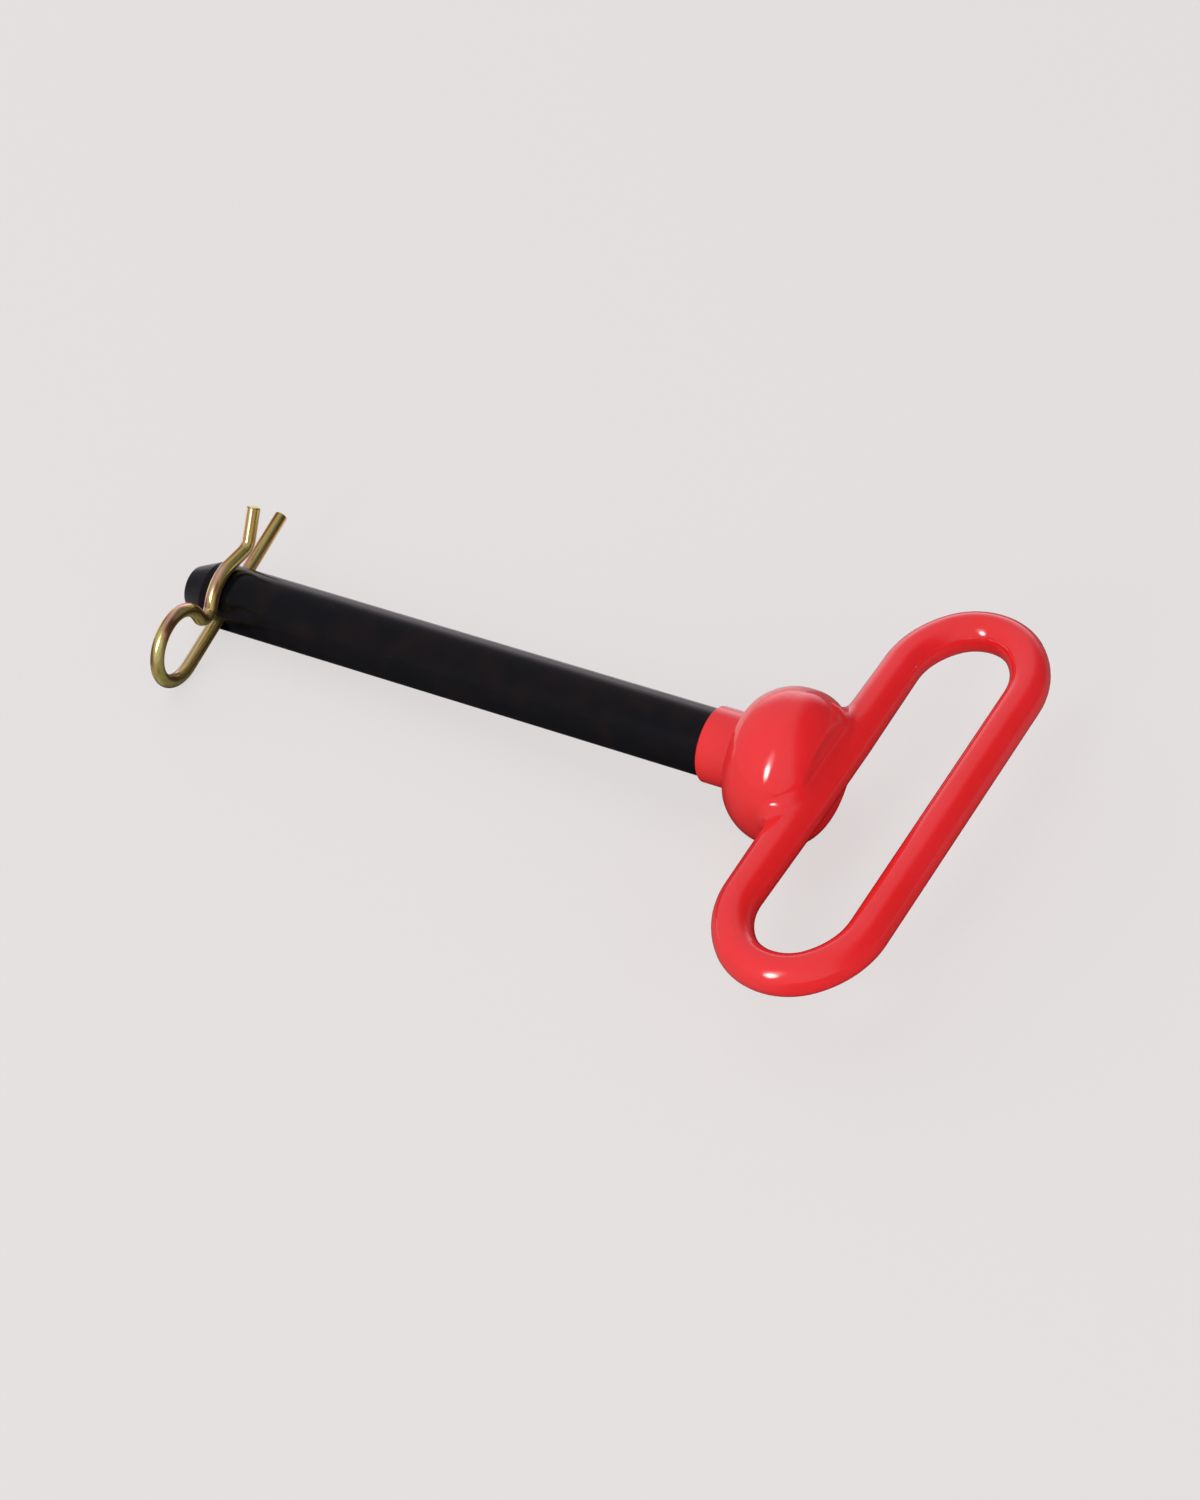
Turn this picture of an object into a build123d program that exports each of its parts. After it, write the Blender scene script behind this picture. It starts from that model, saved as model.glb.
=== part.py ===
from build123d import *
import os
from math import asin, atan2, cos, degrees, hypot, radians, sin, sqrt, tan

# Hitch pin: a steel shank with a tapered nose and a cross hole, a forged loop handle pressed on its
# other end, and a bent-wire hairpin clip in the cross hole. All sizes are in millimetres.
#
# The pieces are drawn in the pin's own frame: +X runs along the shank from nose to handle, with X = 0
# at the collar's front edge, +Y along the handle's loop, and +Z square to the loop. The finished
# pieces are then laid down on the floor (Z = 0) as the pin comes to rest: on its nose, on the hub and
# on the clip's eye.

# ---------------------------------------------------------------- driving dimensions

# Shank
SHANK_DIA = 19.05  # 3/4 in bar
GRIP_LENGTH = 157.2  # collar's front edge to the centre of the cross hole
NOSE_OVERHANG = 13.4  # centre of the cross hole to the end of the nose
NOSE_LENGTH = 7.4  # length of the taper
NOSE_TAPER_DEPTH = 3.2  # how far the taper comes in from the shank's side
NOSE_EDGE_ROUND = 0.5
SOCKET_DEPTH = 25.0  # how far the shank reaches into the handle
SHANK_END_CHAMFER = 1.0
PRESS_INTERFERENCE = 0.02  # radial, between the shank and the handle's socket
SOCKET_END_GAP = 1.0  # left free behind the shank's end, in the blind socket
SOCKET_MOUTH_CHAMFER = 0.2  # leads the shank in

# Cross hole
CROSS_HOLE_DIA = 7.14
CROSS_HOLE_TURN = 14.5  # degrees about the shank, from the loop's plane
CROSS_HOLE_CHAMFER = 0.35

# Handle: collar and hub, from the collar's front edge backwards
COLLAR_WALL = 1.2  # round the shank
COLLAR_LENGTH = 11.5
COLLAR_EDGE_CHAMFER = 0.3
HUB_DIA = 43.5
HUB_FRONT_RUN = 11.2  # flat front face to the start of the widest band
HUB_FRONT_RISE = 5.2  # how far the front dome climbs over that run
HUB_BAND_WIDTH = 1.8
HUB_BACK_RUN = 10.1  # widest band to the flat back face
HUB_BACK_FALL = 6.9
HUB_BACK_ROUND = 4.0

# Handle: loop of round bar
BAR_DIA = 11.1
BAR_ROOT_SWELL = 0.9  # how much thicker the bar is where it leaves the hub
ROOT_BAR_SINK = 0.85  # middle of the bar that crosses the hub, ahead of the hub's back face
LOOP_WIDTH = 35.9  # between the middles of the two long bars
LOOP_STRAIGHT = 92.0  # length of the straight bars
LOOP_END_RADIUS = 15.0  # middle arc of each end, at the middle of the bar
LOOP_SHOULDER_ANGLE = 45.0  # degrees that each shoulder arc turns before the end arc
HUB_BAR_FILLET = 4.5

# Clip, of one round wire; radii are to the middle of the wire
WIRE_DIA = 3.97
WIRE_END_CHAMFER = 0.3
CLIP_GAP = 0.2  # running gap between the wire and the shank or the cross hole's wall
LEG_OVERHANG = 20.9  # how far the straight leg stands out past the shank
EYE_RADIUS = 10.6
EYE_LEAN = 3.5  # degrees that the eye leans towards the handle
KINK_RADIUS = 3.2  # tight bend between the eye and the bowed leg
BOW_START_ANGLE = 136.4  # degrees round the shank, from the straight leg, where the bowed leg meets it
BOW_END_ANGLE = 71.0  # degrees round the shank where the bowed leg runs off straight
NECK_RUN = 9.8  # from there to the corner of the flared end
NECK_RADIUS = 4.0
FLARE_ANGLE = 42.0  # degrees between the flared end and the straight leg
FLARE_LENGTH = 12.0

# ---------------------------------------------------------------- derived sizes

shank_r = SHANK_DIA / 2
nose_end_x = -(GRIP_LENGTH + NOSE_OVERHANG)
nose_start_x = nose_end_x + NOSE_LENGTH
nose_end_r = shank_r - NOSE_TAPER_DEPTH

collar_r = shank_r + COLLAR_WALL
hub_r = HUB_DIA / 2
hub_face_x = COLLAR_LENGTH
hub_face_r = hub_r - HUB_FRONT_RISE
hub_crest_x = hub_face_x + HUB_FRONT_RUN
hub_band_end_x = hub_crest_x + HUB_BAND_WIDTH
hub_back_x = hub_band_end_x + HUB_BACK_RUN
hub_back_r = hub_r - HUB_BACK_FALL

bar_r = BAR_DIA / 2
bar_root_r = bar_r + BAR_ROOT_SWELL / 2
root_bar_x = hub_back_x - ROOT_BAR_SINK
loop_middle_x = root_bar_x + LOOP_WIDTH / 2
grip_bar_x = root_bar_x + LOOP_WIDTH
bar_end_y = LOOP_STRAIGHT / 2

wire_r = WIRE_DIA / 2
bow_radius = shank_r + CLIP_GAP + wire_r

HALF_TURN = radians(180)
QUARTER_TURN = radians(90)


def crown_radius(run, rise):
    """Radius of the arc that climbs `rise` over `run` and arrives level."""
    return (run**2 + rise**2) / (2 * rise)


hub_front_arc_r = crown_radius(HUB_FRONT_RUN, HUB_FRONT_RISE)
hub_back_arc_r = crown_radius(HUB_BACK_RUN, HUB_BACK_FALL)


# ---------------------------------------------------------------- shank


def make_shank():
    """Turned shank: tapered nose, plain end for the handle's socket, and the clip's cross hole."""
    outline = Polyline(
        (nose_end_x, 0),
        (nose_end_x, nose_end_r),
        (nose_start_x, shank_r),
        (SOCKET_DEPTH - SHANK_END_CHAMFER, shank_r),
        (SOCKET_DEPTH, shank_r - SHANK_END_CHAMFER),
        (SOCKET_DEPTH, 0),
        close=True,
    )
    shank = revolve(make_face(outline), Axis.X)
    nose_rim = shank.edges().filter_by(GeomType.CIRCLE).sort_by(Axis.X)[0]
    shank = fillet(nose_rim, NOSE_EDGE_ROUND)

    drill = Rot(X=CROSS_HOLE_TURN) * Rot(X=-90) * Cylinder(CROSS_HOLE_DIA / 2, 2 * SHANK_DIA)
    shank -= Pos(X=-GRIP_LENGTH) * drill
    bores = shank.faces().filter_by(GeomType.CYLINDER)
    hole_wall = bores.sort_by(lambda face: abs(face.radius - CROSS_HOLE_DIA / 2))[0]
    mouths = [edge for edge in hole_wall.edges() if edge.geom_type != GeomType.LINE]
    return chamfer(mouths, CROSS_HOLE_CHAMFER)


# ---------------------------------------------------------------- handle


def make_hub():
    """Collar and domed hub, turned about the shank's axis."""
    front_half = HUB_FRONT_RUN / 2
    front_half_r = hub_r - hub_front_arc_r + sqrt(hub_front_arc_r**2 - front_half**2)
    back_half = HUB_BACK_RUN / 2
    back_half_r = hub_r - hub_back_arc_r + sqrt(hub_back_arc_r**2 - back_half**2)

    face_edge = (hub_face_x, hub_face_r)
    crest = (hub_crest_x, hub_r)
    band_end = (hub_band_end_x, hub_r)
    back_edge = (hub_back_x, hub_back_r)
    collar = Polyline(
        back_edge,
        (hub_back_x, 0),
        (0, 0),
        (0, collar_r - COLLAR_EDGE_CHAMFER),
        (COLLAR_EDGE_CHAMFER, collar_r),
        (hub_face_x, collar_r),
        face_edge,
    )
    front_dome = ThreePointArc(face_edge, (hub_crest_x - front_half, front_half_r), crest)
    back_dome = ThreePointArc(band_end, (hub_band_end_x + back_half, back_half_r), back_edge)
    profile = Curve() + [collar, front_dome, Line(crest, band_end), back_dome]

    hub = revolve(make_face(profile), Axis.X)
    rims = hub.edges().filter_by(GeomType.CIRCLE)
    back_rim = rims.sort_by(lambda rim: abs(rim.center().X - hub_back_x) + abs(rim.radius - hub_back_r))[0]
    return fillet(back_rim, HUB_BACK_ROUND)


def make_socket():
    """Blind bore for the shank, a press fit, with a small chamfer at its mouth."""
    depth = SOCKET_DEPTH + SOCKET_END_GAP
    bore_r = shank_r - PRESS_INTERFERENCE
    outline = Polyline(
        (0, 0),
        (0, bore_r + SOCKET_MOUTH_CHAMFER),
        (SOCKET_MOUTH_CHAMFER, bore_r),
        (depth, bore_r),
        (depth, 0),
        close=True,
    )
    return revolve(make_face(outline), Axis.X)


def make_loop_end():
    """Middle line of one end of the loop: two wide shoulder arcs and a tighter end arc between."""
    turn = radians(LOOP_SHOULDER_ANGLE)
    half_width = LOOP_WIDTH / 2
    shoulder_r = (half_width - LOOP_END_RADIUS * cos(turn)) / (1 - cos(turn))

    def shoulder(angle, side):
        inset = shoulder_r * (1 - cos(angle))
        return (loop_middle_x + side * (half_width - inset), bar_end_y + shoulder_r * sin(angle))

    tip = (loop_middle_x, bar_end_y + (shoulder_r - LOOP_END_RADIUS) * sin(turn) + LOOP_END_RADIUS)
    return [
        ThreePointArc(shoulder(0, -1), shoulder(turn / 2, -1), shoulder(turn, -1)),
        ThreePointArc(shoulder(turn, -1), tip, shoulder(turn, 1)),
        ThreePointArc(shoulder(turn, 1), shoulder(turn / 2, 1), shoulder(0, 1)),
    ]


def make_root_bar():
    """Half of the bar that crosses the hub, a little thicker at the hub than at the loop's end."""
    outline = Polyline(
        (root_bar_x, 0),
        (root_bar_x + bar_root_r, 0),
        (root_bar_x + bar_root_r, hub_back_r),
        (root_bar_x + bar_r, bar_end_y),
        (root_bar_x, bar_end_y),
        close=True,
    )
    return revolve(make_face(outline), Axis((root_bar_x, 0, 0), (0, 1, 0)))


def make_loop():
    """Long loop of round bar, made as one half and its mirror image."""
    grip_half = Line((grip_bar_x, bar_end_y), (grip_bar_x, 0))
    path = Curve() + [*make_loop_end(), grip_half]
    section = Plane(origin=(root_bar_x, bar_end_y, 0), z_dir=(0, 1, 0)) * Circle(bar_r)
    half_loop = sweep(section, path=Wire(path.edges())) + make_root_bar()
    return half_loop + mirror(half_loop, about=Plane.XZ)


def make_handle():
    """One forging: collar, hub and loop, blended where the bar leaves the hub, and the socket bored."""
    hub = make_hub()
    loop = make_loop()
    handle = hub + loop
    seams = [edge for edge in new_edges(hub, loop, combined=handle) if edge.geom_type != GeomType.LINE]
    return fillet(seams, HUB_BAR_FILLET) - make_socket()


# ---------------------------------------------------------------- clip


class ClipFrame:
    """Places points of the clip in the pin's frame.

    `along` runs with the cross hole towards the straight leg's free end, and `out` runs square to it
    towards the bowed leg. Both start on the shank's axis.
    """

    def __init__(self):
        turn = radians(CROSS_HOLE_TURN)
        lean = radians(EYE_LEAN)
        seat = CROSS_HOLE_DIA / 2 - wire_r - CLIP_GAP
        self.origin = Vector(-GRIP_LENGTH - seat, 0, 0)
        self.along = Vector(0, cos(turn), sin(turn))
        self.square = Vector(0, -sin(turn), cos(turn))
        self.leaning = Vector(sin(lean), 0, 0) + self.square * cos(lean)
        self.sidestep = Vector(2 * EYE_RADIUS * sin(lean), 0, 0)

        kink_reach = bow_radius + KINK_RADIUS
        start = radians(BOW_START_ANGLE)
        self.kink = (kink_reach * cos(start), kink_reach * sin(start))
        eye_out = EYE_RADIUS * (2 * cos(lean) - 1)
        touch = EYE_RADIUS + KINK_RADIUS
        self.eye = (self.kink[0] - sqrt(touch**2 - (eye_out - self.kink[1]) ** 2), eye_out)

    def eye_side(self, along, out):
        """Point in the leaning plane of the straight leg and the first half of the eye."""
        return self.origin + self.along * along + self.leaning * out

    def bow_side(self, along, out):
        """Point in the bowed leg's plane, which lies beside the straight leg's."""
        return self.origin + self.sidestep + self.along * along + self.square * out


def on_circle(centre, radius, angle):
    """Point of a circle at an angle in radians."""
    return (centre[0] + radius * cos(angle), centre[1] + radius * sin(angle))


def ahead(point, angle, distance):
    """Point reached from another by going `distance` in the direction `angle`, in radians."""
    return on_circle(point, distance, angle)


def arc(place, centre, radius, start, end):
    """Arc between two angles in radians, with its points placed in space by `place`."""
    angles = (start, (start + end) / 2, end)
    return ThreePointArc(*[place(*on_circle(centre, radius, angle)) for angle in angles])


def make_clip_path():
    """Middle line of the clip's wire, from the straight leg's free end round to the flared end."""
    frame = ClipFrame()
    eye_start = (frame.eye[0], EYE_RADIUS)
    eye_exit = atan2(frame.kink[1] - frame.eye[1], frame.kink[0] - frame.eye[0])
    bow_start = radians(BOW_START_ANGLE)
    bow_end = radians(BOW_END_ANGLE)
    flare = radians(FLARE_ANGLE)

    run_off = bow_end - QUARTER_TURN
    run_start = on_circle((0, 0), bow_radius, bow_end)
    corner = ahead(run_start, run_off, NECK_RUN)
    trim = NECK_RADIUS * tan((flare - run_off) / 2)
    neck_start = ahead(corner, run_off, -trim)
    neck_centre = ahead(neck_start, bow_end, NECK_RADIUS)
    neck_end = ahead(corner, flare, trim)
    flare_end = ahead(corner, flare, FLARE_LENGTH)

    return [
        Line(frame.eye_side(shank_r + LEG_OVERHANG, 0), frame.eye_side(frame.eye[0], 0)),
        arc(frame.eye_side, eye_start, EYE_RADIUS, -QUARTER_TURN, -3 * QUARTER_TURN),
        arc(frame.bow_side, frame.eye, EYE_RADIUS, QUARTER_TURN, eye_exit),
        arc(frame.bow_side, frame.kink, KINK_RADIUS, eye_exit - HALF_TURN, bow_start - HALF_TURN),
        arc(frame.bow_side, (0, 0), bow_radius, bow_start, bow_end),
        Line(frame.bow_side(*run_start), frame.bow_side(*neck_start)),
        arc(frame.bow_side, neck_centre, NECK_RADIUS, bow_end - HALF_TURN, flare - QUARTER_TURN),
        Line(frame.bow_side(*neck_end), frame.bow_side(*flare_end)),
    ]


def make_clip():
    """Hairpin clip: one round wire bent along its path, with its two cut ends eased."""
    path = Wire(make_clip_path())
    section = Plane(origin=path @ 0, z_dir=path % 0) * Circle(wire_r)
    clip = sweep(section, path=path)
    cut_ends = clip.faces().filter_by(GeomType.PLANE)
    return chamfer(cut_ends.edges(), WIRE_END_CHAMFER)


# ---------------------------------------------------------------- rest on the floor


def rest_pitch():
    """Angle that sets both the nose and the front of the hub on the floor."""
    run = hub_crest_x - nose_start_x
    rise = hub_r - hub_front_arc_r - shank_r
    return asin(hub_front_arc_r / hypot(run, rise)) + atan2(rise, run)


def floor_height(pitch):
    """Height of the floor below the pin's own origin, once it is pitched: the nose stands on it."""
    return nose_start_x * sin(pitch) - shank_r * cos(pitch)


def eye_height(pitch, roll):
    """Height of the lowest point of the clip's eye, once the pin is rolled and pitched."""
    frame = ClipFrame()
    up = Vector(sin(pitch), cos(pitch) * sin(roll), cos(pitch) * cos(roll))
    centre = frame.eye_side(frame.eye[0], EYE_RADIUS)
    swing = EYE_RADIUS * hypot(up.dot(frame.along), up.dot(frame.leaning))
    return up.dot(centre) - swing - wire_r


def rest_roll(pitch):
    """Angle about the shank at which the clip's eye comes down on the floor, found by halving."""
    clear = 0.0
    sunk = QUARTER_TURN / 2
    while sunk - clear > 1e-9:
        middle = (clear + sunk) / 2
        if eye_height(pitch, middle) > floor_height(pitch):
            clear = middle
        else:
            sunk = middle
    return clear


def lay_down(pieces):
    """Lay the pieces on the floor, with the middle of their footprint at the origin."""
    pitch = rest_pitch()
    turn = Rot(Y=-degrees(pitch)) * Rot(X=degrees(rest_roll(pitch)))
    middle = Compound([turn * piece for piece in pieces.values()]).bounding_box().center()
    place = Pos(-middle.X, -middle.Y, -floor_height(pitch)) * turn
    return {name: place * piece for name, piece in pieces.items()}


# ---------------------------------------------------------------- export

os.makedirs("parts", exist_ok=True)
pin = {
    "pin_shank": make_shank(),
    "loop_handle": make_handle(),
    "hairpin_clip": make_clip(),
}
for node, solid in lay_down(pin).items():
    export_step(solid, f"parts/{node}.step")
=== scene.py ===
"""Finishes, studio light and camera for a hitch pin with a loop handle and a hairpin clip.

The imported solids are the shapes, and this script dresses them: black oxide on the turned
shank, dipped red enamel on the forged handle and yellow zinc plating on the wire clip.
Everything is in metres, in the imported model's own frame, with +Z up from the floor.
"""

import logging
import math
from dataclasses import dataclass, field
from enum import Enum
from typing import Any

import bpy
from mathutils import Matrix, Vector


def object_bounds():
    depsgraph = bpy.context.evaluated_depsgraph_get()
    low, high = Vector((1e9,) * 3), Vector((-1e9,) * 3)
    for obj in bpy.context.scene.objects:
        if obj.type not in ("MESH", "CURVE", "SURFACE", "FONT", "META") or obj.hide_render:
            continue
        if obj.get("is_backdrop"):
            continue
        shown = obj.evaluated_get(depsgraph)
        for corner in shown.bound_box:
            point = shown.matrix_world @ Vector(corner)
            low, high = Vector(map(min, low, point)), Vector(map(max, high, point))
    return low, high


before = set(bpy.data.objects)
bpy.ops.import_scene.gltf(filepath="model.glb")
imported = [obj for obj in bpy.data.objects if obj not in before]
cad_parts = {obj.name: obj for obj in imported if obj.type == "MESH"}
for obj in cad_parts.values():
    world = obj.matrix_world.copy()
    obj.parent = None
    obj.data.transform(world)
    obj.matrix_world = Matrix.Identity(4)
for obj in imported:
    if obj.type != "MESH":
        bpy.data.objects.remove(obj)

Colour = tuple[float, float, float]
Point = tuple[float, float, float]
Socket = bpy.types.NodeSocket
Sockets = dict[str | int, Any]
Span = tuple[float, float]

LOG = logging.getLogger("hitch_pin")

# The Mix node carries its sockets once for each type of data, so the colour ones go by number.
MIX_SHARE, MIX_BELOW, MIX_ABOVE, MIX_RESULT = 0, 6, 7, 2

# The part of a noise's range that most of its values lie in.
USUAL_NOISE: Span = (0.3, 0.7)

# The middle of a lamp's face, which runs from 0 to 1 both ways, and how far its rim is from there.
LAMP_MIDDLE: Point = (0.5, 0.5, 0.0)
LAMP_RIM = 0.5


class Piece(Enum):
    """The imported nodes, one for each separate piece of the real pin."""

    SHANK = "pin_shank"
    HANDLE = "loop_handle"
    CLIP = "hairpin_clip"


class Edge(Enum):
    """How a lamp's bright face ends."""

    HARD = "hard"
    FADED = "faded"


def unit_from(azimuth: float, elevation: float) -> Vector:
    """Direction from the pin out to a lamp or the camera.

    Args:
        azimuth: degrees round the vertical, 0 towards -Y and 90 towards +X.
        elevation: degrees above the floor.

    Returns:
        The unit vector that points that way.
    """
    a, e = math.radians(azimuth), math.radians(elevation)
    return Vector((math.sin(a) * math.cos(e), -math.cos(a) * math.cos(e), math.sin(e)))


class Bench:
    """A node tree being built, with short ways to add the nodes that recur."""

    def __init__(self, tree: bpy.types.NodeTree) -> None:
        """Start work on a tree, with the nodes that it has."""
        self.nodes = tree.nodes
        self.links = tree.links

    def feed(self, socket: Socket, value: Any) -> None:
        """Join a socket to the one that feeds it, or set it to a fixed value.

        Args:
            socket: the input to feed.
            value: another node's output, or a number, a colour or a vector.
        """
        if isinstance(value, bpy.types.NodeSocket):
            self.links.new(value, socket)
        elif isinstance(value, tuple) and socket.type == "RGBA":
            socket.default_value = (*value, 1.0)
        else:
            socket.default_value = value

    def add(self, kind: str, inputs: Sockets | None = None, **settings: Any) -> bpy.types.Node:
        """Add one node.

        Args:
            kind: the node's type.
            inputs: what feeds its inputs, by name or by number.
            settings: the node's own settings.

        Returns:
            The new node.
        """
        node = self.nodes.new(kind)
        for name, value in settings.items():
            setattr(node, name, value)
        for key, value in (inputs or {}).items():
            self.feed(node.inputs[key], value)
        return node

    def maths(self, what: str, a: Any, b: Any) -> Socket:
        """One step of arithmetic on two values."""
        return self.add("ShaderNodeMath", {0: a, 1: b}, operation=what).outputs["Value"]

    def ramp(self, value: Socket, span: Span, to: tuple[Any, Any] = (0.0, 1.0),
             falling: bool = False) -> Socket:
        """Smoothly map a value.

        Args:
            value: the value to map.
            span: where it starts and ends.
            to: what comes out at the start and at the end.
            falling: swap the two ends of to.

        Returns:
            The mapped value, held level outside the span.
        """
        first, last = reversed(to) if falling else to
        node = self.add("ShaderNodeMapRange", {
            "Value": value, "From Min": span[0], "From Max": span[1],
            "To Min": first, "To Max": last,
        }, interpolation_type="SMOOTHSTEP")
        return node.outputs["Result"]

    def towards(self, place: Socket, azimuth: float, elevation: float) -> Socket:
        """How far a place or a direction goes one way.

        Args:
            place: the place or direction.
            azimuth: degrees round the vertical, as for unit_from.
            elevation: degrees above the floor.

        Returns:
            Metres that way for a place, or -1 to 1 for a direction.
        """
        way = unit_from(azimuth, elevation)
        node = self.add("ShaderNodeVectorMath", {0: place, 1: way}, operation="DOT_PRODUCT")
        return node.outputs["Value"]

    def either(self, share: Socket, usual: Socket, other: Socket) -> Socket:
        """One shader with share 0, the other with share 1 and a mix between."""
        node = self.add("ShaderNodeMixShader", {"Fac": share, 1: usual, 2: other})
        return node.outputs["Shader"]


class Coating(Bench):
    """A material being mixed: a Principled shader with the nodes that feed it."""

    # How much of a speck's radius has its full strength.
    SPECK_CORE = 0.4

    def __init__(self, name: str) -> None:
        """Start a new material, with its shader already joined up.

        Args:
            name: what the material is called.
        """
        self.material = bpy.data.materials.new(name)
        self.material.use_nodes = True
        super().__init__(self.material.node_tree)
        self.shader = self.nodes["Principled BSDF"]
        self.place = self.add("ShaderNodeTexCoord").outputs["Object"]

    def set(self, **values: Any) -> None:
        """Set the shader's own sockets, with underscores for spaces in their names."""
        for name, value in values.items():
            self.feed(self.shader.inputs[name.replace("_", " ")], value)

    def stretched(self, scale: Point) -> Socket:
        """The place on the piece, scaled along each axis.

        Args:
            scale: the factor along each axis, below 1 to draw a pattern out.

        Returns:
            The scaled coordinates, for the at of noise.
        """
        portions = tuple(1.0 / s for s in scale)
        node = self.add("ShaderNodeMapping", {"Vector": self.place, "Scale": portions},
                        vector_type="TEXTURE")
        return node.outputs["Vector"]

    def noise(self, size: float, detail: float = 2.0, rough: float = 0.5,
              at: Socket | None = None) -> Socket:
        """Soft cloudy noise.

        Args:
            size: width of a typical blotch in metres, or in the units of at.
            detail: how many finer layers are added.
            rough: how strong those finer layers are.
            at: coordinates to use in place of the piece's own.

        Returns:
            A value from 0 to 1, mostly near 0.5.
        """
        node = self.add("ShaderNodeTexNoise", {
            "Vector": at or self.place, "Scale": 1.0 / size, "Detail": detail, "Roughness": rough,
        })
        return node.outputs["Fac"]

    def specks(self, size: float, reach: float, share: float) -> Socket:
        """Small round specks, scattered with few near each other.

        Args:
            size: mean distance between possible specks in metres.
            reach: radius of a speck as a share of that distance.
            share: share of the possible specks that are there.

        Returns:
            1 in the middle of a speck, falling to 0 at its edge and beyond.
        """
        cell = self.add("ShaderNodeTexVoronoi", {"Vector": self.place, "Scale": 1.0 / size})
        core = reach * self.SPECK_CORE
        spot = self.ramp(cell.outputs["Distance"], (core, reach), falling=True)
        lot = self.add("ShaderNodeSeparateColor", {"Color": cell.outputs["Color"]})
        there = self.maths("LESS_THAN", lot.outputs["Red"], share)
        return self.maths("MULTIPLY", spot, there)

    def blend(self, share: Socket, below: Any, above: Any) -> Socket:
        """Put one colour over another.

        Args:
            share: how much of the upper colour shows.
            below: the lower colour.
            above: the upper colour.

        Returns:
            The colour that results.
        """
        node = self.add("ShaderNodeMix", {MIX_SHARE: share, MIX_BELOW: below, MIX_ABOVE: above},
                        data_type="RGBA")
        return node.outputs[MIX_RESULT]

    def lengthwise(self, count: float, drift: float) -> Socket:
        """Coordinates that change fast round a wire and slowly along it.

        Args:
            count: how many lines fit from one side of the wire to the other.
            drift: metres along the wire over which a line fades into another.

        Returns:
            The coordinates, for noise of size 1.
        """
        surface = self.add("ShaderNodeTexCoord").outputs["Normal"]
        slow = self.add("ShaderNodeVectorMath", {0: self.place, "Scale": 1.0 / drift},
                        operation="SCALE")
        half = count / 2
        both = self.add("ShaderNodeVectorMath", {
            0: surface, 1: (half, half, half), 2: slow.outputs["Vector"],
        }, operation="MULTIPLY_ADD")
        return both.outputs["Vector"]

    def relief(self, layers: list[tuple[Socket, float]]) -> None:
        """Raise the surface by several heights, one over another.

        Args:
            layers: each height from 0 to 1 with its full depth in metres.
        """
        below: Sockets = {}
        for height, depth in layers:
            bump = self.add("ShaderNodeBump", {
                "Height": height, "Distance": depth, "Strength": 1.0, **below,
            })
            below = {"Normal": bump.outputs["Normal"]}
        self.set(**below)


@dataclass(frozen=True)
class RedEnamel:
    """Thick glossy red paint, dipped over a forging that was not ground smooth."""

    pigment: Colour = (0.80, 0.012, 0.016)
    deep_pigment: Colour = (0.78, 0.009, 0.010)
    patch: float = 0.030
    patch_span: Span = (0.35, 0.65)
    grit: Colour = (0.10, 0.010, 0.010)
    grit_spacing: float = 0.0085
    grit_reach: float = 0.045
    grit_share: float = 0.12
    peel: float = 0.0035
    peel_depth: float = 0.00003
    swell: float = 0.012
    swell_depth: float = 0.00012
    dull_patch: float = 0.006
    dullness: Span = (0.54, 0.62)
    pigment_shine: float = 0.2
    coat_dullness: float = 0.05
    coat_ior: float = 1.8

    def make(self) -> bpy.types.Material:
        """Mix the paint, in two near reds with dark grit under a clear coat.

        Returns:
            The paint's material.
        """
        paint = Coating("red_enamel")
        patches = paint.ramp(paint.noise(self.patch, detail=3.0), self.patch_span)
        colour = paint.blend(patches, self.pigment, self.deep_pigment)
        grit = paint.specks(self.grit_spacing, self.grit_reach, self.grit_share)
        colour = paint.blend(grit, colour, self.grit)
        dull = paint.ramp(paint.noise(self.dull_patch, detail=3.0), USUAL_NOISE, self.dullness)
        paint.set(Base_Color=colour, Roughness=dull, Specular_IOR_Level=self.pigment_shine,
                  Coat_Weight=1.0, Coat_Roughness=self.coat_dullness, Coat_IOR=self.coat_ior)
        paint.relief([(paint.noise(self.swell, detail=1.0), self.swell_depth),
                      (paint.noise(self.peel, detail=1.0), self.peel_depth)])
        return paint.material


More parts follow.
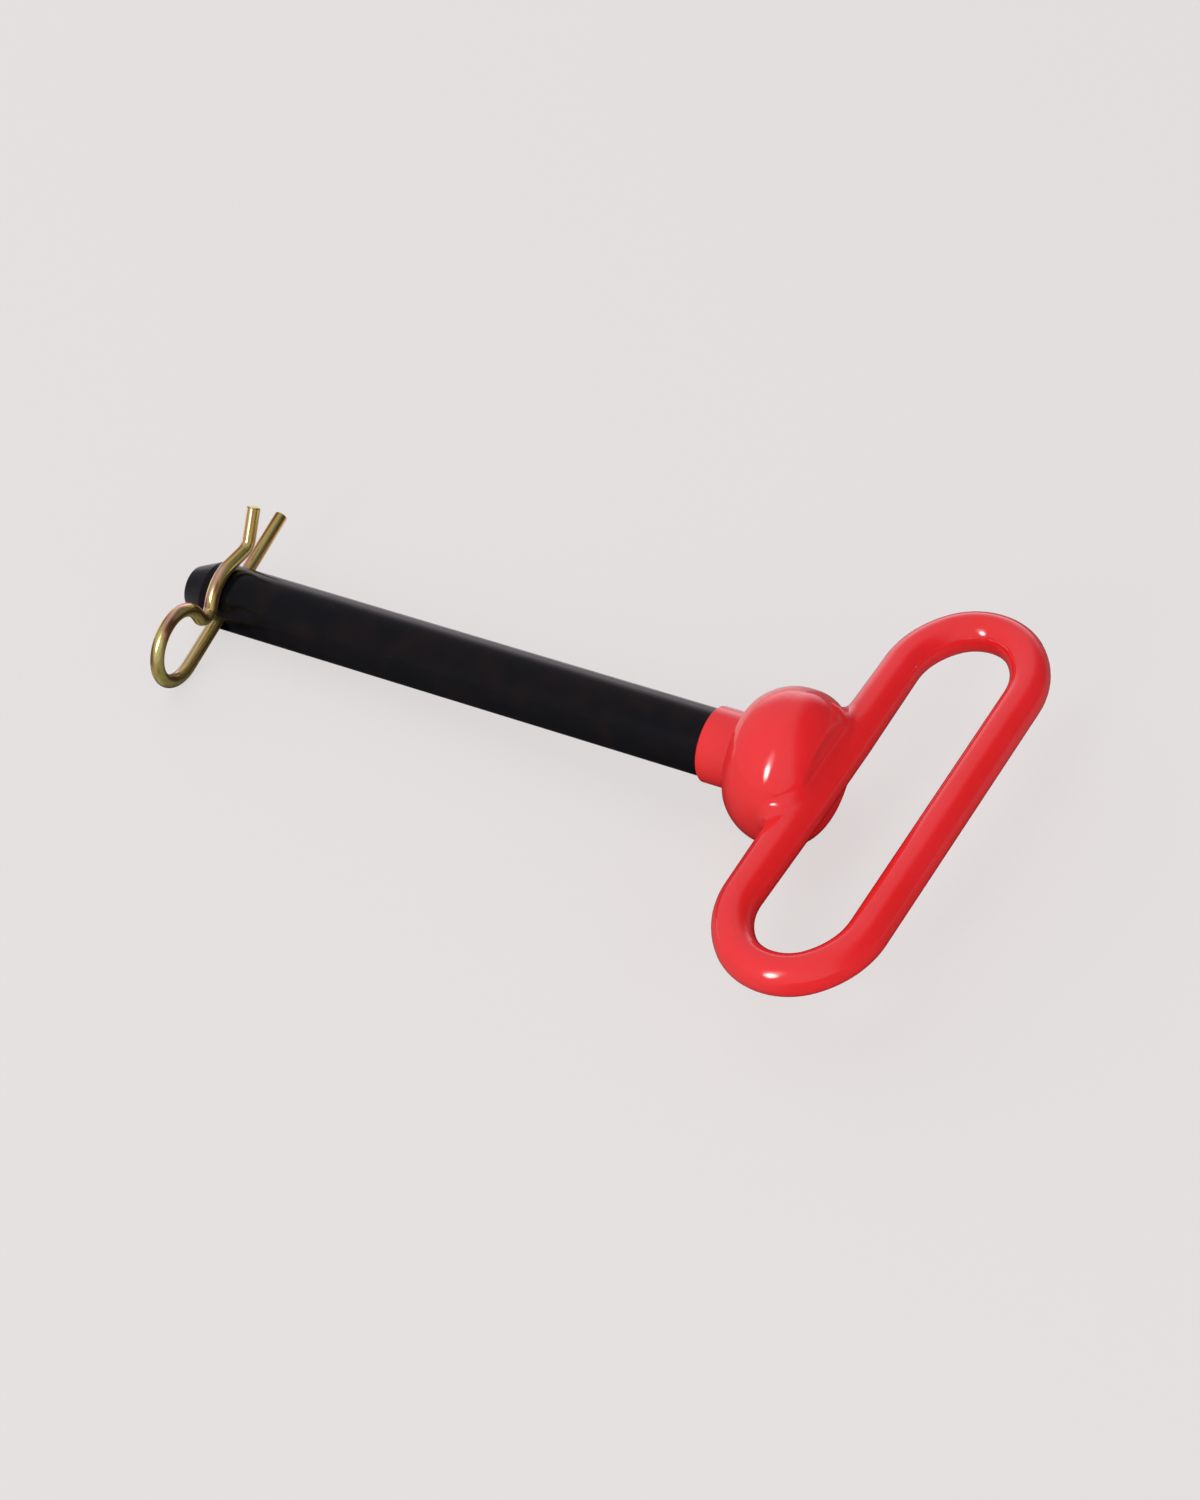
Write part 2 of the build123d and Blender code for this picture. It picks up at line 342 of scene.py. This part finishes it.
@dataclass(frozen=True)
class BlackOxide:
    """Satin black on a turned steel bar, with brown bloom and the odd bright speck."""

    black: Colour = (0.0026, 0.0027, 0.0040)
    bloom: Colour = (0.0070, 0.0044, 0.0046)
    bloom_patch: float = 0.011
    bloom_span: Span = (0.42, 0.68)
    speck: Colour = (0.09, 0.07, 0.065)
    speck_spacing: float = 0.0075
    speck_reach: float = 0.035
    speck_share: float = 0.4
    cloud_layers: float = 4.0
    cloud_rough: float = 0.6
    dull_patch: float = 0.004
    dullness: Span = (0.16, 0.22)
    ior: float = 1.3
    line_width: float = 0.0004
    line_depth: float = 0.000004
    line_stretch: Point = (0.02, 1.0, 1.0)

    def make(self) -> bpy.types.Material:
        """Mix the finish, with fine lines drawn out along the bar.

        Returns:
            The finish's material.
        """
        oxide = Coating("black_oxide")
        clouds = oxide.noise(self.bloom_patch, self.cloud_layers, self.cloud_rough)
        colour = oxide.blend(oxide.ramp(clouds, self.bloom_span), self.black, self.bloom)
        specks = oxide.specks(self.speck_spacing, self.speck_reach, self.speck_share)
        colour = oxide.blend(specks, colour, self.speck)
        wear_noise = oxide.noise(self.dull_patch, self.cloud_layers, self.cloud_rough)
        dull = oxide.ramp(wear_noise, USUAL_NOISE, self.dullness)
        oxide.set(Base_Color=colour, Roughness=dull, IOR=self.ior)
        lines = oxide.noise(self.line_width, at=oxide.stretched(self.line_stretch))
        oxide.relief([(lines, self.line_depth)])
        return oxide.material


@dataclass(frozen=True)
class YellowZinc:
    """Yellow passivated zinc on drawn wire, gold with pink and green bands that are partly its own
    tint and partly painted reflection, pale lines of painted highlight and brown lines of painted
    shade.
    """

    gold: Colour = (0.88, 0.65, 0.19)
    # Pink and green bands: partly the plating's own tint, partly painted reflection.
    pink: Colour = (0.90, 0.50, 0.37)
    pink_span: Span = (0.52, 0.60)
    green: Colour = (0.66, 0.60, 0.16)
    green_span: Span = (0.38, 0.46)
    # Pale lines are painted highlight; brown lines are painted shade.
    pale: Colour = (0.98, 0.90, 0.35)
    painted_highlight_span: Span = (0.52, 0.64)
    brown: Colour = (0.38, 0.19, 0.09)
    painted_shade_span: Span = (0.36, 0.47)
    band_count: float = 1.1
    line_count: float = 2.6
    drift: float = 0.060
    line_depth: float = 0.000008
    grain: float = 0.0022
    grain_depth: float = 0.000002
    nick: Colour = (0.95, 0.92, 0.80)
    nick_spacing: float = 0.0045
    nick_reach: float = 0.09
    nick_share: float = 0.12
    nick_depth: float = 0.00003
    dull_patch: float = 0.0030
    dullness: Span = (0.17, 0.25)
    metal: float = 0.88

    def make(self) -> bpy.types.Material:
        """Mix the plating, whose bands and drawn lines run along the wire: the pink and green
        bands are partly the plating's tint and partly painted reflection, the pale lines are
        painted highlight and the brown lines are painted shade.

        Returns:
            The plating's material.
        """
        zinc = Coating("yellow_zinc")
        tint_and_reflection = zinc.noise(1.0, detail=0.0, at=zinc.lengthwise(self.band_count, self.drift))
        line = zinc.noise(1.0, detail=0.0, at=zinc.lengthwise(self.line_count, self.drift))
        nicks = zinc.specks(self.nick_spacing, self.nick_reach, self.nick_share)
        # Pink and green bands round the wire: partly the plating's tint, partly painted
        # reflection.
        colour = zinc.blend(zinc.ramp(tint_and_reflection, self.pink_span), self.gold, self.pink)
        colour = zinc.blend(zinc.ramp(tint_and_reflection, self.green_span, falling=True), colour, self.green)
        # Painted highlight in pale lines and painted shade in brown lines; the same noise also
        # raises the drawn lines.
        colour = zinc.blend(zinc.ramp(line, self.painted_highlight_span), colour, self.pale)
        colour = zinc.blend(zinc.ramp(line, self.painted_shade_span, falling=True), colour, self.brown)
        colour = zinc.blend(nicks, colour, self.nick)
        dull = zinc.ramp(zinc.noise(self.dull_patch, detail=1.0), USUAL_NOISE, self.dullness)
        zinc.set(Base_Color=colour, Roughness=dull, Metallic=self.metal)
        grain = zinc.noise(self.grain, detail=1.0)
        zinc.relief([(line, self.line_depth), (grain, self.grain_depth), (nicks, self.nick_depth)])
        return zinc.material


def wear(piece: Piece, material: bpy.types.Material) -> bpy.types.Object:
    """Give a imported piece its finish.

    Args:
        piece: the piece to dress.
        material: the finish that goes in each of its material slots.

    Returns:
        The piece's object.
    """
    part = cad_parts[piece.value]
    if not part.material_slots:
        part.data.materials.append(material)
    for slot in part.material_slots:
        slot.material = material
    return part


@dataclass
class PinBody:
    """The pin itself: the turned shank, pressed into the forged and painted loop handle."""

    shank_finish: BlackOxide = field(default_factory=BlackOxide)
    handle_finish: RedEnamel = field(default_factory=RedEnamel)

    def dress_shank(self) -> bpy.types.Object:
        """Black the shank."""
        return wear(Piece.SHANK, self.shank_finish.make())

    def dress_handle(self) -> bpy.types.Object:
        """Paint the handle."""
        return wear(Piece.HANDLE, self.handle_finish.make())

    def build(self) -> list[bpy.types.Object]:
        """Dress both pieces of the pin and return them."""
        return [self.dress_shank(), self.dress_handle()]


@dataclass
class WireClip:
    """The hairpin clip, one length of drawn wire bent into a round eye and two legs."""

    finish: YellowZinc = field(default_factory=YellowZinc)

    def build(self) -> list[bpy.types.Object]:
        """Plate the clip and return it."""
        return [wear(Piece.CLIP, self.finish.make())]


@dataclass(frozen=True)
class DimSide:
    """A side of the floor that gloss shows darker.

    The azimuth says which side, the span how many metres out the dimming starts and is full,
    and the share how bright the floor still is there.
    """

    azimuth: float
    span: Span
    share: float


@dataclass
class Floor:
    """The plain pale floor, which keeps a faint shadow under the pin."""

    colour: Colour = (0.776, 0.745, 0.738)
    reach: float = 6.0
    see_through: float = 0.84
    gloss_near: float = 0.12
    shade_reach: float = 0.07
    shade_span: Span = (0.60, 0.98)
    shade_samples: int = 6
    dim_sides: tuple[DimSide, ...] = (
        DimSide(azimuth=110.0, span=(0.045, 0.085), share=0.2),
        DimSide(azimuth=10.0, span=(-0.040, 0.020), share=0.35),
    )

    def gloss_share(self, bench: Bench) -> Socket:
        """How bright gloss shows the floor: dim beside the pin, before it and beyond it.

        Args:
            bench: the floor's own node tree.

        Returns:
            The share of the floor's colour that gloss shows.
        """
        shade = bench.add("ShaderNodeAmbientOcclusion", {"Distance": self.shade_reach},
                          samples=self.shade_samples)
        share = bench.ramp(shade.outputs["AO"], self.shade_span, (self.gloss_near, 1.0))
        place = bench.add("ShaderNodeNewGeometry").outputs["Position"]
        for side in self.dim_sides:
            out = bench.towards(place, side.azimuth, 0.0)
            share = bench.maths("MULTIPLY", share, bench.ramp(out, side.span, (1.0, side.share)))
        return share

    def material(self) -> bpy.types.Material:
        """Matt pale paint, mostly clear to the camera, which sees the equally pale room.

        Returns:
            The paint's material.
        """
        made = bpy.data.materials.new("pale_floor")
        made.use_nodes = True
        bench = Bench(made.node_tree)
        bench.nodes.clear()
        path = bench.add("ShaderNodeLightPath").outputs
        matt = bench.add("ShaderNodeBsdfDiffuse", {"Color": self.colour})
        dimmed = bench.add("ShaderNodeVectorMath", {
            0: self.colour, "Scale": self.gloss_share(bench),
        }, operation="SCALE")
        in_gloss = bench.add("ShaderNodeBsdfDiffuse", {"Color": dimmed.outputs["Vector"]})
        paint = bench.either(path["Is Glossy Ray"], matt.outputs["BSDF"], in_gloss.outputs["BSDF"])
        clear = bench.add("ShaderNodeBsdfTransparent").outputs["BSDF"]
        clearness = bench.add("ShaderNodeMath", {
            0: path["Is Camera Ray"], 1: self.see_through, 2: path["Is Shadow Ray"],
        }, operation="MULTIPLY_ADD")
        surface = bench.either(clearness.outputs["Value"], paint, clear)
        bench.add("ShaderNodeOutputMaterial", {"Surface": surface})
        return made

    def build(self) -> bpy.types.Object:
        """Lay the floor at the height that the pin rests on.

        Returns:
            The floor's object.
        """
        half = self.reach / 2
        mesh = bpy.data.meshes.new("floor")
        corners = [(-half, -half, 0.0), (half, -half, 0.0), (half, half, 0.0), (-half, half, 0.0)]
        mesh.from_pydata(corners, [], [(0, 1, 2, 3)])
        mesh.materials.append(self.material())
        floor = bpy.data.objects.new("floor", mesh)
        bpy.context.scene.collection.objects.link(floor)
        floor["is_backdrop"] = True
        return floor


@dataclass(frozen=True)
class Softbox:
    """One flat studio lamp that faces the pin."""

    name: str
    azimuth: float
    elevation: float
    distance: float
    width: float
    height: float
    radiance: float
    colour: Colour = (1.0, 1.0, 1.0)
    edge: Edge = Edge.HARD
    in_gloss: bool = True

    def fade(self, light: bpy.types.AreaLight) -> None:
        """Let the lamp's cloth fall from bright in the middle to nothing at its rim.

        Args:
            light: the lamp to fade.
        """
        light.use_nodes = True
        bench = Bench(light.node_tree)
        across = bench.add("ShaderNodeNewGeometry").outputs["Parametric"]
        off_middle = bench.add("ShaderNodeVectorMath", {0: across, 1: LAMP_MIDDLE},
                               operation="DISTANCE")
        level = bench.ramp(off_middle.outputs["Value"], (0.0, LAMP_RIM), falling=True)
        bench.feed(bench.nodes["Emission"].inputs["Strength"], level)

    def build(self, target: Vector) -> bpy.types.Object:
        """Hang the lamp.

        Args:
            target: the point that it faces.

        Returns:
            The lamp's object.
        """
        light = bpy.data.lights.new(self.name, "AREA")
        light.shape = "RECTANGLE"
        light.size, light.size_y = self.width, self.height
        light.color = self.colour
        light.energy = self.radiance * math.pi * self.width * self.height
        if self.edge is Edge.FADED:
            self.fade(light)
        lamp = bpy.data.objects.new(self.name, light)
        out = unit_from(self.azimuth, self.elevation)
        lamp.location = target + out * self.distance
        lamp.rotation_mode = "QUATERNION"
        lamp.rotation_quaternion = out.to_track_quat("Z", "Y")
        lamp.visible_camera = False
        lamp.visible_glossy = self.in_gloss
        bpy.context.scene.collection.objects.link(lamp)
        return lamp


@dataclass
class Studio:
    """Floor, lamps and the room round them, which gloss shows bright with one dark side."""

    floor: Floor = field(default_factory=Floor)
    colour: Colour = (0.97, 0.92, 1.0)
    room_light: float = 0.385
    gloss_light: Span = (0.37, 0.04)
    dark_azimuth: float = 130.0
    dark_elevation: float = 10.0
    dark_span: Span = (0.38, 0.76)
    lamps: tuple[Softbox, ...] = (
        Softbox("key", azimuth=-4, elevation=30, distance=1.5, width=0.56, height=0.92,
                radiance=15.5, edge=Edge.FADED),
        Softbox("key_halo", azimuth=-4, elevation=40, distance=1.7, width=0.9, height=1.5,
                radiance=2.2, edge=Edge.FADED),
        Softbox("backdrop", azimuth=-158, elevation=-2, distance=2.0, width=3.6, height=3.0,
                radiance=1.25, colour=(1.0, 0.87, 0.97), edge=Edge.FADED),
        Softbox("left_fill", azimuth=-100, elevation=48, distance=1.8, width=2.2, height=2.2,
                radiance=1.4, in_gloss=False),
        Softbox("right_fill", azimuth=60, elevation=22, distance=1.8, width=2.0, height=1.6,
                radiance=1.4, in_gloss=False),
    )

    def build(self, target: Vector) -> None:
        """Set up the floor, the lamps and the room.

        Args:
            target: the point that the lamps face.
        """
        scene = bpy.context.scene
        self.floor.build()
        for lamp in self.lamps:
            lamp.build(target)
            LOG.info("lamp %s", lamp.name)
        scene.world = self.room()
        scene.view_settings.view_transform = "Standard"

    def room(self) -> bpy.types.World:
        """The room: even on matt paint, darker to one side in gloss, seen as pale as the floor.

        Returns:
            The room's world.
        """
        world = bpy.data.worlds.new("room")
        world.use_nodes = True
        bench = Bench(world.node_tree)
        bench.nodes.clear()
        way = bench.add("ShaderNodeTexCoord").outputs["Generated"]
        path = bench.add("ShaderNodeLightPath").outputs
        side = bench.towards(way, self.dark_azimuth, self.dark_elevation)
        wall = bench.ramp(side, self.dark_span, self.gloss_light)
        level = bench.ramp(path["Is Glossy Ray"], (0.0, 1.0), (self.room_light, wall))
        height = bench.add("ShaderNodeSeparateXYZ", {"Vector": way}).outputs["Z"]
        above_floor = bench.maths("GREATER_THAN", height, 0.0)
        strength = bench.maths("MULTIPLY", level, above_floor)
        lit = bench.add("ShaderNodeBackground", {"Color": self.colour, "Strength": strength})
        seen = bench.add("ShaderNodeBackground", {"Color": self.floor.colour})
        surface = bench.either(path["Is Camera Ray"], lit.outputs["Background"],
                               seen.outputs["Background"])
        bench.add("ShaderNodeOutputWorld", {"Surface": surface})
        return world


@dataclass
class ProductCamera:
    """The camera that looks down on the pin from its handle end."""

    azimuth: float = 31.77
    elevation: float = 43.04
    lean: float = -2.971
    distance: float = 1.0078
    focal_length: float = 88.22
    far_limit: float = 20.0
    aim: Point = (0.01503, -0.00542, 0.00836)

    def build(self) -> bpy.types.Object:
        """Place the camera and make it the scene's own.

        Returns:
            The camera's object.
        """
        data = bpy.data.cameras.new("camera")
        data.lens = self.focal_length
        data.clip_end = self.far_limit
        camera = bpy.data.objects.new("camera", data)
        out = unit_from(self.azimuth, self.elevation)
        camera.location = Vector(self.aim) + out * self.distance
        level = out.to_track_quat("Z", "Y").to_matrix().to_4x4()
        camera.rotation_mode = "QUATERNION"
        turned = level @ Matrix.Rotation(math.radians(self.lean), 4, "Z")
        camera.rotation_quaternion = turned.to_quaternion()
        bpy.context.scene.collection.objects.link(camera)
        bpy.context.scene.camera = camera
        return camera


def box_as_lists() -> list[list[float]]:
    """The lowest and highest corners of everything shown, as plain lists."""
    return [list(corner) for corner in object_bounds()]


def main() -> None:
    """Dress each piece in order, set the studio round them with the lamps facing the middle of the
    imported pieces, and place the camera.
    """
    logging.basicConfig(level=logging.INFO, format="%(name)s: %(message)s")
    solid_box = box_as_lists()
    for assembly in (PinBody(), WireClip()):
        for part in assembly.build():
            LOG.info("%s wears %s", part.name, part.material_slots[0].material.name)
    middle = (Vector(solid_box[0]) + Vector(solid_box[1])) / 2
    Studio().build(middle)
    ProductCamera().build()


if __name__ == "__main__":
    main()
